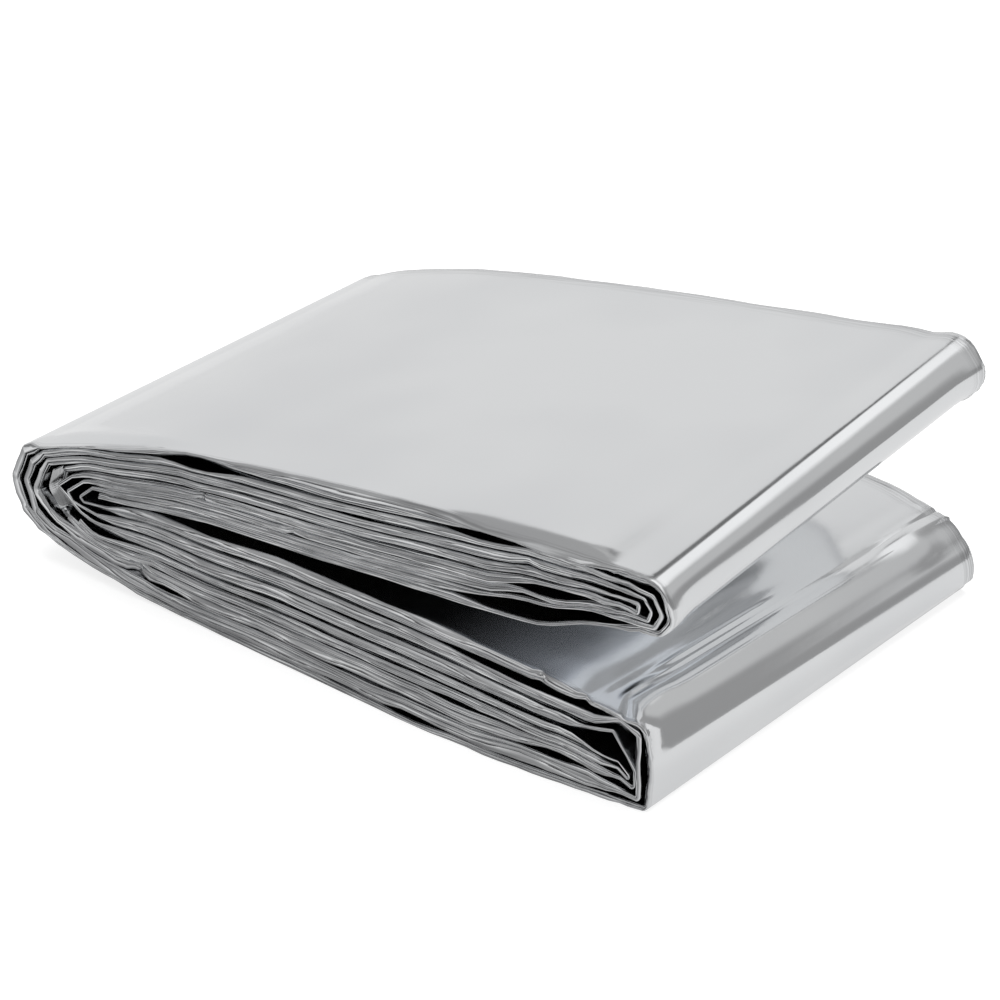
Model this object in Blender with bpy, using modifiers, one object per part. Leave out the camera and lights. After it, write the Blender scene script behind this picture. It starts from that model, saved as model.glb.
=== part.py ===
"""Emergency foil blanket, folded for storage.

The blanket is one thin metallised film.  It is pleated across its width into a
strip, the strip is wound flat into four turns, and the flat winding is doubled
over once, so that all its layers wrap a nose at -X and the two halves stand
open at +X.  Each layer of the solid is one thickness of the pleated strip.

Units are metres, Z is up, +X runs from the nose to the open end and +Y from
the side with the pleat ends to the other side.  The origin is at the middle
of the bounding box, on the surface that the blanket lies on.
"""

from collections import namedtuple
from math import cos, pi, sin, tan

import bmesh
import bpy
from mathutils import Vector

MM = 0.001

# Driving sizes, in millimetres like every table below.
PLEAT_WIDTH = 87.5      # 1.40 m of film in 16 pleats
STRIP_THICKNESS = 1.0   # the pleated strip, pressed
ARC_STEPS = 4           # segments in each rounded corner of the section
STATIONS = 6            # sections along the width
EDGE_WANDER = 0.5       # how far the long edges stray from straight

# The envelope of both halves on the near side: the underside, the top of the
# lower half, the underside of the upper half and the top skin.
Outline = namedtuple("Outline", "x bottom lower_top upper_bottom top")
ENVELOPE = [
    Outline(0.0, 7.5, 14.0, 15.0, 19.0),
    Outline(6.0, 5.3, 14.2, 15.2, 21.4),
    Outline(12.0, 2.9, 14.6, 15.6, 23.6),
    Outline(22.0, 1.1, 15.4, 16.6, 26.5),
    Outline(33.0, 0.2, 16.6, 17.8, 29.2),
    Outline(44.0, 0.0, 17.3, 19.2, 30.8),
    Outline(60.0, 0.0, 18.2, 20.2, 33.2),
    Outline(74.0, 0.0, 18.0, 21.2, 34.9),
    Outline(88.0, 0.0, 17.8, 22.3, 36.4),
    Outline(100.0, 0.0, 17.1, 23.2, 37.0),
    Outline(110.0, 0.0, 16.3, 24.3, 37.1),
    Outline(120.0, 0.0, 15.7, 27.4, 37.3),
    Outline(128.0, 0.0, 14.6, 29.2, 37.4),
    Outline(134.0, 0.0, 14.0, 29.8, 36.6),
]

# How much higher the far side lies, for each of the same four lines.
Rise = namedtuple("Rise", "x bottom lower_top upper_bottom top")
FAR_RISE = [
    Rise(0.0, 0.8, 0.8, 0.8, 0.6),
    Rise(12.0, 0.5, 0.9, 0.9, 1.3),
    Rise(33.0, 0.0, 0.4, 0.6, 1.7),
    Rise(60.0, 0.0, -0.7, 1.2, 2.6),
    Rise(88.0, 0.0, -1.2, 3.0, 3.3),
    Rise(110.0, 0.0, -1.5, 5.4, 5.0),
    Rise(122.0, 0.0, -2.0, 5.8, 6.3),
    Rise(134.0, 0.0, -3.6, 5.8, 6.4),
]

# How far each end reaches past its near corner, at the far corner, and the
# stretch along X over which each end goes over into the straight middle.
NOSE_REACH = 1.2
UPPER_END_REACH = -2.4
LOWER_END_REACH = 1.2
NOSE_STRETCH = 60.0
END_START = 80.0
END_STRETCH = 45.0
FOOT_HEIGHT = 6.0       # the lower end is undercut below this height
CLEFT_MARGIN = 1.5      # above the lower half's top, the upper half's reach holds

# How far the underside's near edge stands out, at its middle, how high up the
# stack this bulge dies away, and where along X it begins and ends.
BULGE = 2.6
BULGE_HEIGHT = 20.0
BULGE_START = 28.0
BULGE_RISE = 66.0
BULGE_END = 133.0
BULGE_FALL = 32.0

# The wander's wavelength along X, and its phase from one section point to the next.
WANDER_LENGTH = 125.0
WANDER_PHASE = 0.21


# Layers of each half from the outside of the folded blanket to the inside,
# with where each one's level run starts and ends.
Layer = namedtuple("Layer", "number left right")
UPPER = [
    Layer(1, 6.5, 125.5),
    Layer(2, 7.5, 127.0),
    Layer(3, 8.5, 122.4),
    Layer(4, 13.0, 108.0),
    Layer(5, 17.0, 108.0),
    Layer(6, 25.0, 122.4),
    Layer(7, 37.0, 127.0),
    Layer(8, 42.5, 129.6),
]
LOWER = [
    Layer(16, 7.0, 128.6),
    Layer(15, 8.0, 125.8),
    Layer(14, 9.5, 119.5),
    Layer(13, 22.0, 111.0),
    Layer(12, 25.0, 111.0),
    Layer(11, 19.0, 115.0),
    Layer(10, 27.0, 121.0),
    Layer(9, 37.0, 121.5),
]
RAMP = 7.0              # the length over which layers close up past another's end
HELD_OPEN = 0.4         # the room kept for a layer that has not begun, of a whole gap
RUN_STEP = 9.5          # spacing of the section's points along a layer

# Hollows where layers stand apart: the outer of the two layers, the hollow's
# middle and half length along X, and its room beyond an ordinary gap.
Hollow = namedtuple("Hollow", "outer x reach extra")
HOLLOWS = [
    Hollow(1, 42.0, 11.0, 0.9),
    Hollow(1, 100.0, 9.0, 0.5),
    Hollow(3, 66.0, 14.0, 0.5),
    Hollow(4, 129.0, 9.0, 1.5),
    Hollow(5, 84.0, 16.0, 0.6),
    Hollow(7, 112.0, 18.0, 0.9),
    Hollow(16, 26.0, 12.0, 0.5),
    Hollow(15, 86.0, 15.0, 1.2),
    Hollow(14, 30.0, 12.0, 0.9),
    Hollow(13, 60.0, 14.0, 0.5),
    Hollow(13, 132.0, 22.0, 8.0),
    Hollow(11, 112.0, 14.0, 1.8),
]

# The winding, from its free end in the cleft to its free end in the core.
WINDING = [8, 1, 16, 9, 7, 2, 15, 10, 6, 3, 14, 11, 5, 4, 13, 12]

# Corners of the strip's middle line where it turns from one layer to the next.
# A turn that opens towards the far side has corners of its own there.
Corner = namedtuple("Corner", "x z radius")
Turn = namedtuple("Turn", "leaves enters corners far_corners", defaults=[None])
TURNS = [
    Turn(
        8,
        1,
        [Corner(131.7, 29.9, 1.0), Corner(133.9, 32.8, 2.2), Corner(132.9, 36.7, 1.8)],
        [Corner(131.5, 29.6, 2.0), Corner(134.6, 33.4, 3.2), Corner(129.5, 37.0, 5.0)],
    ),
    Turn(1, 16, [Corner(2.8, 19.5, 1.0), Corner(-0.2, 13.8, 2.5), Corner(2.2, 8.2, 3.0)]),
    Turn(
        16,
        9,
        [Corner(130.1, 0.5, 0.9), Corner(130.1, 13.9, 1.6)],
        [Corner(130.1, 0.5, 0.9), Corner(130.3, 13.9, 4.6)],
    ),
    Turn(9, 7, [Corner(34.4, 16.2, 0.7), Corner(34.4, 18.2, 0.7)]),
    Turn(7, 2, [Corner(130.8, 31.6, 0.8), Corner(131.2, 34.9, 1.4)]),
    Turn(2, 15, [Corner(4.4, 18.2, 1.0), Corner(1.7, 14.0, 1.8), Corner(4.2, 8.9, 2.2)]),
    Turn(15, 10, [Corner(128.5, 1.9, 0.7), Corner(124.0, 12.0, 0.8)]),
    Turn(10, 6, [Corner(23.0, 14.6, 0.7), Corner(23.0, 17.2, 0.7)]),
    Turn(6, 3, [Corner(126.8, 32.4, 0.8), Corner(127.0, 34.1, 0.8)]),
    Turn(3, 14, [Corner(5.8, 16.8, 1.0), Corner(3.5, 13.6, 1.4), Corner(5.8, 9.8, 1.8)]),
    Turn(14, 11, [Corner(126.3, 3.2, 0.85), Corner(117.8, 7.9, 1.0)]),
    Turn(11, 5, [Corner(14.6, 13.6, 0.7), Corner(13.8, 16.4, 0.7)]),
    Turn(4, 13, [Corner(9.8, 16.6, 1.0), Corner(10.6, 14.2, 1.4), Corner(17.6, 9.0, 1.8)]),
]


def lerp(a, b, share):
    """The value that lies a share of the way from a to b."""
    return a + (b - a) * share


def smooth(share):
    """An eased step from 0 to 1."""
    share = min(max(share, 0.0), 1.0)
    return share * share * (3.0 - 2.0 * share)


def table_value(rows, x, column):
    """Reads a column of a table at x, eased between its rows by a cubic."""
    xs = [row.x for row in rows]
    ys = [getattr(row, column) for row in rows]
    if x <= xs[0]:
        return ys[0]
    if x >= xs[-1]:
        return ys[-1]
    i = max(k for k in range(len(xs) - 1) if xs[k] <= x)

    def slope(k):
        if k == 0:
            return (ys[1] - ys[0]) / (xs[1] - xs[0])
        if k == len(xs) - 1:
            return (ys[-1] - ys[-2]) / (xs[-1] - xs[-2])
        before = (ys[k] - ys[k - 1]) / (xs[k] - xs[k - 1])
        after = (ys[k + 1] - ys[k]) / (xs[k + 1] - xs[k])
        if before * after <= 0.0:
            return 0.0
        return 2.0 * before * after / (before + after)

    span = xs[i + 1] - xs[i]
    t = (x - xs[i]) / span
    return (
        ys[i] * (2 * t**3 - 3 * t**2 + 1)
        + ys[i + 1] * (3 * t**2 - 2 * t**3)
        + span * (slope(i) * (t**3 - 2 * t**2 + t) + slope(i + 1) * (t**3 - t**2))
    )


def hollow_room(outer, x):
    """Extra room under a layer, in ordinary gaps."""
    room = 0.0
    for hollow in HOLLOWS:
        if hollow.outer == outer:
            room += hollow.extra * smooth(1.0 - abs(x - hollow.x) / hollow.reach)
    return room


def gap_weights(stack, x):
    """Weights of the gaps between the layers of a half, outermost first.

    A gap closes up where the layer inside it has not begun yet, at the nose,
    and where the layers on its own side have turned back, at the open end.
    """
    weights = []
    middle = len(stack) // 2
    for k in range(len(stack) - 1):
        outer, inner = stack[k], stack[k + 1]
        begins = lerp(HELD_OPEN, 1.0, smooth((x - inner.left + RAMP) / RAMP))
        turned_back = inner.right if k < middle - 1 else outer.right
        ends = 1.0 - smooth((x - turned_back) / RAMP)
        if k == middle - 1:
            ends = 1.0
        weights.append(begins * ends * (1.0 + hollow_room(outer.number, x)))
    return weights


def layer_height(stack, index, x):
    """Height of a layer's middle line at x, on the near side."""
    half = 0.5 * STRIP_THICKNESS
    if stack is UPPER:
        outer = table_value(ENVELOPE, x, "top") - half
        inner = table_value(ENVELOPE, x, "upper_bottom") + half
    else:
        outer = table_value(ENVELOPE, x, "bottom") + half
        inner = table_value(ENVELOPE, x, "lower_top") - half
    weights = gap_weights(stack, x)
    return lerp(outer, inner, sum(weights[:index]) / sum(weights))


def layer_run(number):
    """Points along a layer from its nose end to its open end."""
    stack = UPPER if number <= 8 else LOWER
    index = [layer.number for layer in stack].index(number)
    layer = stack[index]
    steps = max(3, round((layer.right - layer.left) / RUN_STEP))
    points = []
    for k in range(steps + 1):
        # Closer together at the ends, where the layers draw together.
        share = lerp(k / steps, 0.5 - 0.5 * cos(pi * k / steps), 0.6)
        x = lerp(layer.left, layer.right, share)
        points.append((x, layer_height(stack, index, x)))
    return points


def fillet(before, corner, after, radius):
    """An arc of ARC_STEPS segments in place of a corner."""
    before, corner, after = Vector(before), Vector(corner), Vector(after)
    to_before = (before - corner).normalized()
    to_after = (after - corner).normalized()
    half_angle = 0.5 * to_before.angle(to_after, pi)
    longest = 0.48 * min((before - corner).length, (after - corner).length)
    cut = min(radius / max(tan(half_angle), 1e-6), longest)
    start = corner + to_before * cut
    end = corner + to_after * cut
    weight = sin(half_angle)
    arc = []
    for k in range(ARC_STEPS + 1):
        # The rational quadratic with this weight is an exact circular arc.
        t = k / ARC_STEPS
        a, b, c = (1 - t) ** 2, 2 * t * (1 - t) * weight, t**2
        arc.append(tuple((start * a + corner * b + end * c) / (a + b + c)))
    return arc


def turn_corners(leaves, enters, start, end, across):
    """Corners of the turn between two layers, in the strip's own order."""
    for turn in TURNS:
        if (turn.leaves, turn.enters) == (leaves, enters):
            far_corners = turn.far_corners or turn.corners
            return [
                Corner(*(lerp(a, b, across) for a, b in zip(near, far)))
                for near, far in zip(turn.corners, far_corners)
            ]
    # A plain half round at the open end.
    radius = 0.5 * abs(end[1] - start[1])
    return [
        Corner(start[0] + radius, start[1], radius),
        Corner(end[0] + radius, end[1], radius),
    ]


def section(across):
    """The strip's middle line at a share of the width, as (x, z) points.

    Every share gives the same number of points.  The layers run as on the near
    side, and how they lie on the far side comes with the sheet.
    """
    path = []
    outward = True
    for order, number in enumerate(WINDING):
        run = layer_run(number)
        if not outward:
            run.reverse()
        if order:
            start, end = path[-1], run[0]
            corners = turn_corners(WINDING[order - 1], number, start, end, across)
            line = [start] + [(c.x, c.z) for c in corners] + [end]
            for k, corner in enumerate(corners):
                path += fillet(line[k], line[k + 1], line[k + 2], corner.radius)
        path += run
        outward = not outward
    return path


def far_rise(x, z):
    """How much higher a point of the near section lies on the far side."""
    lines = ["bottom", "lower_top", "upper_bottom", "top"]
    heights = [table_value(ENVELOPE, x, line) for line in lines]
    rises = [table_value(FAR_RISE, x, line) for line in lines]
    if z <= heights[0]:
        return rises[0]
    for k in range(3):
        if z <= heights[k + 1]:
            share = (z - heights[k]) / (heights[k + 1] - heights[k])
            return lerp(rises[k], rises[k + 1], share)
    return rises[3]


def end_reach(x, z):
    """How far a point of the near section moves along X on the far side."""
    nose = -NOSE_REACH * (1.0 - smooth(x / NOSE_STRETCH))
    cleft = table_value(ENVELOPE, x, "lower_top") + CLEFT_MARGIN
    reach = UPPER_END_REACH if z > cleft else LOWER_END_REACH * smooth(z / FOOT_HEIGHT)
    return nose + reach * smooth((x - END_START) / END_STRETCH)


def edge_offset(x, z, k):
    """How far the long edges stand out from straight, at one point of the section."""
    wander = EDGE_WANDER * sin(WANDER_PHASE * k) * sin(2.0 * pi * x / WANDER_LENGTH)
    low = max(0.0, 1.0 - z / BULGE_HEIGHT)
    begins = smooth((x - BULGE_START) / BULGE_RISE)
    ends = smooth((BULGE_END - x) / BULGE_FALL)
    return wander, BULGE * low * begins * ends


def make_sheet():
    """The open surface of the strip's middle, one section after another."""
    bm = bmesh.new()
    rows = []
    for station in range(STATIONS):
        across = station / (STATIONS - 1)
        side = 2.0 * across - 1.0
        row = []
        for k, (x, z) in enumerate(section(across)):
            wander, bulge = edge_offset(x, z, k)
            point = Vector((
                x + across * end_reach(x, z),
                across * PLEAT_WIDTH + side**3 * wander - (1.0 - across) * bulge,
                z + across * far_rise(x, z),
            ))
            row.append(bm.verts.new(point * MM))
        rows.append(row)
    for near, far in zip(rows, rows[1:]):
        for k in range(len(near) - 1):
            bm.faces.new((near[k], near[k + 1], far[k + 1], far[k]))
    mesh = bpy.data.meshes.new("foil_blanket")
    bm.to_mesh(mesh)
    bm.free()
    return mesh


def foil_material():
    """Bright vacuum-metallised film."""
    material = bpy.data.materials.new("metallised_film")
    material.use_nodes = True
    shader = material.node_tree.nodes["Principled BSDF"]
    shader.inputs["Base Color"].default_value = (0.80, 0.81, 0.82, 1.0)
    shader.inputs["Metallic"].default_value = 1.0
    shader.inputs["Roughness"].default_value = 0.12
    return material


def stand_at_origin(blanket):
    """Moves the blanket so that the origin is under the middle of its box."""
    bpy.context.view_layer.update()
    evaluated = blanket.evaluated_get(bpy.context.evaluated_depsgraph_get())
    corners = [Vector(c) for c in evaluated.bound_box]
    low = [min(c[axis] for c in corners) for axis in range(3)]
    high = [max(c[axis] for c in corners) for axis in range(3)]
    blanket.location = (
        -0.5 * (low[0] + high[0]),
        -0.5 * (low[1] + high[1]),
        -low[2],
    )


def main():
    for old in list(bpy.data.objects):
        bpy.data.objects.remove(old, do_unlink=True)
    collection = bpy.data.collections.new("Emergency foil blanket")
    bpy.context.scene.collection.children.link(collection)

    blanket = bpy.data.objects.new("foil_blanket", make_sheet())
    collection.objects.link(blanket)
    blanket.data.materials.append(foil_material())
    blanket.data.shade_smooth()

    thickness = blanket.modifiers.new("Strip thickness", "SOLIDIFY")
    thickness.thickness = STRIP_THICKNESS * MM
    thickness.offset = 0.0
    thickness.use_even_offset = True
    stand_at_origin(blanket)


main()
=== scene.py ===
"""Emergency foil blanket, folded for storage: its film, its finish and its studio.

The blanket is one sheet of metallised film, 2.10 m long and 1.40 m wide.  It is
halved four times across its width into a strip of sixteen leaves.  The strip is
wound flat into four turns and the winding is doubled over once.  A node tree
folds the flat sheet along that winding, and short tables press the creases,
hollows and crumples into it.

Tables and sizes are in millimetres and meshes in metres.  The section's X runs
from the nose to the open end, and a leaf's Y from the near side to the far one.
"""

import logging
from dataclasses import dataclass, field
from enum import Enum
from math import cos, hypot, pi, radians, sin, tan
from typing import Any, NamedTuple

import bpy
import numpy as np
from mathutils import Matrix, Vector


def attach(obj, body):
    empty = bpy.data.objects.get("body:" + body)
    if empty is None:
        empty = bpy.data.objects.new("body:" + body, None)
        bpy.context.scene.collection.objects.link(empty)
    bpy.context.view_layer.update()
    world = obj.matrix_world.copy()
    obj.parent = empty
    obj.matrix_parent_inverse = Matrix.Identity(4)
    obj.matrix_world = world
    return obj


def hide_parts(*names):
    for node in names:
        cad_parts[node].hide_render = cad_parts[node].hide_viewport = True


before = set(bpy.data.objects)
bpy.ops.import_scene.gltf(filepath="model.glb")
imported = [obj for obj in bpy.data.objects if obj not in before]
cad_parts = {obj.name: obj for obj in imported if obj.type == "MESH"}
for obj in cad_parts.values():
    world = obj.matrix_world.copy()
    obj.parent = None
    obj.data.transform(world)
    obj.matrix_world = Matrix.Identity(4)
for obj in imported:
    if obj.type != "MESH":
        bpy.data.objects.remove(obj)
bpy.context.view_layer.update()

log = logging.getLogger("foil_blanket")

MM = 0.001
TINY = 1e-6     # keeps a divisor off zero
SKIN = 0.999    # the level share from which a leaf is the outer one


class Half(Enum):
    """The two halves of the doubled winding."""

    UPPER = "upper"
    LOWER = "lower"


class Line(Enum):
    """The four lines between which the layers lie, as columns of the tables."""

    BOTTOM = 1
    LOWER_TOP = 2
    UPPER_BOTTOM = 3
    TOP = 4


class Outline(NamedTuple):
    """Heights of the four lines at one place along the near side."""

    x: float
    bottom: float
    lower_top: float
    upper_bottom: float
    top: float


class Layer(NamedTuple):
    """One thickness of the strip: where its level run starts and ends, and its bulk."""

    number: int
    left: float
    right: float
    bulk: float


class Room(NamedTuple):
    """More height in the stack at one place along the section.

    With one layer's number it swells that layer, and with two numbers it is a
    hollow between those layers.
    """

    layers: tuple[int, ...]
    x: float
    reach: float
    extra: float


class Spot(NamedTuple):
    """A stretch of a layer with closer stations, for its sharp creases."""

    layer: int
    x: float
    reach: float


class Corner(NamedTuple):
    """A rounded corner of the strip's middle line."""

    x: float
    z: float
    radius: float


def path(*rows: tuple[float, float, float]) -> tuple[Corner, ...]:
    """A path's corners, from the x, z and radius of each."""
    return tuple(Corner(*row) for row in rows)


class Turn(NamedTuple):
    """The corners through which the strip passes from one layer to the next.

    Half is the strip's half thickness there.  A turn that opens towards the far
    side has corners of its own there, and an early one is half open where the
    leaves' edge region ends.
    """

    leaves: int
    enters: int
    half: float
    corners: tuple[Corner, ...]
    far_corners: tuple[Corner, ...] = ()
    finer: float = 1.0
    early: bool = False


class Stretch(NamedTuple):
    """An amount that is whole at its middle and fades out over its reach.

    The place is a layer's number, or the two numbers of a turn.  The middle is
    the section's X on a layer, and the distance from a turn's start on a turn.
    """

    place: tuple[int, ...]
    middle: float
    reach: float
    amount: float


class Crease(NamedTuple):
    """A ridge, or with a negative height a trough, across the outer leaf.

    It runs between two points.  The first coordinate is the section's X on a
    layer, and the distance from its start on a turn.
    """

    place: tuple[int, ...]
    along_a: float
    y_a: float
    along_b: float
    y_b: float
    width: float
    height: float


class Crumple(NamedTuple):
    """A crumpled patch of the outer leaf, placed like a crease's end."""

    place: tuple[int, ...]
    along: float
    y: float
    reach_along: float
    reach_across: float
    height: float
    wavelength: float


def lerp(a: Any, b: Any, share: Any) -> Any:
    """The value that lies a share of the way from a to b."""
    return a + (b - a) * share


def smooth(share: Any) -> Any:
    """An eased step from 0 to 1, for one value or an array."""
    share = np.clip(share, 0.0, 1.0)
    return share * share * (3.0 - 2.0 * share)


def table_value(rows: tuple[Outline, ...], x: float, column: Line) -> float:
    """Reads a column of a table at x, eased between its rows by a cubic.

    Args:
        rows: The table, in order of x.
        x: Where to read it.
        column: Which of its columns to read.

    Returns:
        The value, which never overshoots the rows on either side.
    """
    xs = [row.x for row in rows]
    ys = [row[column.value] for row in rows]
    if x <= xs[0]:
        return ys[0]
    if x >= xs[-1]:
        return ys[-1]
    secants = [(b - a) / (q - p) for a, b, p, q in zip(ys, ys[1:], xs, xs[1:])]

    def slope(k: int) -> float:
        """The curve's slope at a row, level at a peak or a dip."""
        before, after = secants[max(k - 1, 0)], secants[min(k, len(secants) - 1)]
        return 2.0 * before * after / (before + after) if before * after > 0.0 else 0.0

    i = max(k for k in range(len(xs) - 1) if xs[k] <= x)
    span = xs[i + 1] - xs[i]
    t = (x - xs[i]) / span
    return (
        ys[i] * (2 * t**3 - 3 * t**2 + 1)
        + ys[i + 1] * (3 * t**2 - 2 * t**3)
        + span * (slope(i) * (t**3 - 2 * t**2 + t) + slope(i + 1) * (t**3 - t**2))
    )


def in_section(x: np.ndarray, z: np.ndarray) -> np.ndarray:
    """Vectors that lie in the section, so that their Y is zero."""
    return np.column_stack([x, np.zeros(len(x)), z])


def put_in_scene(name: str, data: bpy.types.ID) -> bpy.types.Object:
    """Makes an object of some data and links it to the scene.

    Args:
        name: The object's name.
        data: Its mesh, light or camera.

    Returns:
        The new object.
    """
    thing = bpy.data.objects.new(name, data)
    bpy.context.scene.collection.objects.link(thing)
    return thing


def keep_at_points(mesh: bpy.types.Mesh, kind: str,
                   fields: dict[str, np.ndarray]) -> None:
    """Writes values to a mesh's points as attributes.

    Args:
        mesh: The mesh.
        kind: The attributes' Blender type.
        fields: A value for each point, by the attribute's name.
    """
    number = np.int32 if kind == "INT" else np.float32
    part = "vector" if kind == "FLOAT_VECTOR" else "value"
    for label, values in fields.items():
        layer = mesh.attributes.new(label, kind, "POINT")
        layer.data.foreach_set(part, values.astype(number).ravel())


def node_group(name: str, kind: str, takes: dict[str, str],
               gives: dict[str, str]) -> bpy.types.NodeTree:
    """Makes a node group that has its sockets but no nodes yet.

    Args:
        name: The group's name.
        kind: Its Blender type.
        takes: The kind of each of its inputs, by name.
        gives: The kind of each of its outputs, by name.

    Returns:
        The new group.
    """
    tree = bpy.data.node_groups.new(name, kind)
    for way, sockets in (("INPUT", takes), ("OUTPUT", gives)):
        for label, socket in sockets.items():
            tree.interface.new_socket(label, in_out=way,
                                      socket_type=f"NodeSocket{socket}")
    return tree


@dataclass(frozen=True)
class Waver:
    """Uneven values along a line: sines of falling size and drawn phase."""

    seed: int
    size: float
    longest: float
    octaves: int
    falling: float = 0.6
    lengths: tuple[float, float] = (0.8, 1.25)  # of a sine, against its octave's

    def at(self, along: np.ndarray, which: int = 0) -> np.ndarray:
        """Reads the values at some distances along the line.

        Args:
            along: The distances.
            which: Picks one among lines that waver alike, each with its own draw.

        Returns:
            Values between about minus the size and the size.
        """
        draw = np.random.default_rng(self.seed + which)
        total = np.zeros_like(along, dtype=float)
        part, whole = 1.0, 0.0
        for octave in range(self.octaves):
            length = self.longest / 2.0**octave * draw.uniform(*self.lengths)
            total += part * np.sin(2 * pi * along / length + draw.uniform(0, 2 * pi))
            whole += part
            part *= self.falling
        return self.size * (total / whole)


@dataclass
class Stations:
    """The strip's stations, in its own order, with what each one needs.

    Points are x and z, and half is the strip's half thickness.  Lean holds the
    reach, bulge and rise of the far side, and opening the shift in x and z of a
    turn's far corners.
    """

    points: np.ndarray
    half: np.ndarray
    lean: np.ndarray
    opening: np.ndarray
    places: list[tuple[int, ...]]
    along: np.ndarray = field(init=False)
    outward: np.ndarray = field(init=False)

    def __post_init__(self) -> None:
        """Measures the line and finds the side that faces out of the winding."""
        steps = np.diff(self.points, axis=0)
        lengths = np.maximum(np.hypot(*steps.T), TINY)
        self.along = np.concatenate([[0.0], np.cumsum(lengths)])
        heading = steps / lengths[:, None]
        heading = np.vstack([heading[:1], heading[:-1] + heading[1:], heading[-1:]])
        heading /= np.linalg.norm(heading, axis=1)[:, None]
        self.outward = np.column_stack([heading[:, 1], -heading[:, 0]])

    def measure(self, place: tuple[int, ...]) -> tuple[np.ndarray, np.ndarray]:
        """Finds the stations of a place, with a coordinate along it.

        Args:
            place: A layer's number, or the two numbers of a turn.

        Returns:
            The stations' indices, and their X on a layer or their distance from
            the start of a turn.
        """
        here = np.array([k for k, name in enumerate(self.places) if name == place])
        if len(place) == 1:
            return here, self.points[here, 0]
        return here, self.along[here] - self.along[here[0] - 1]


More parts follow.
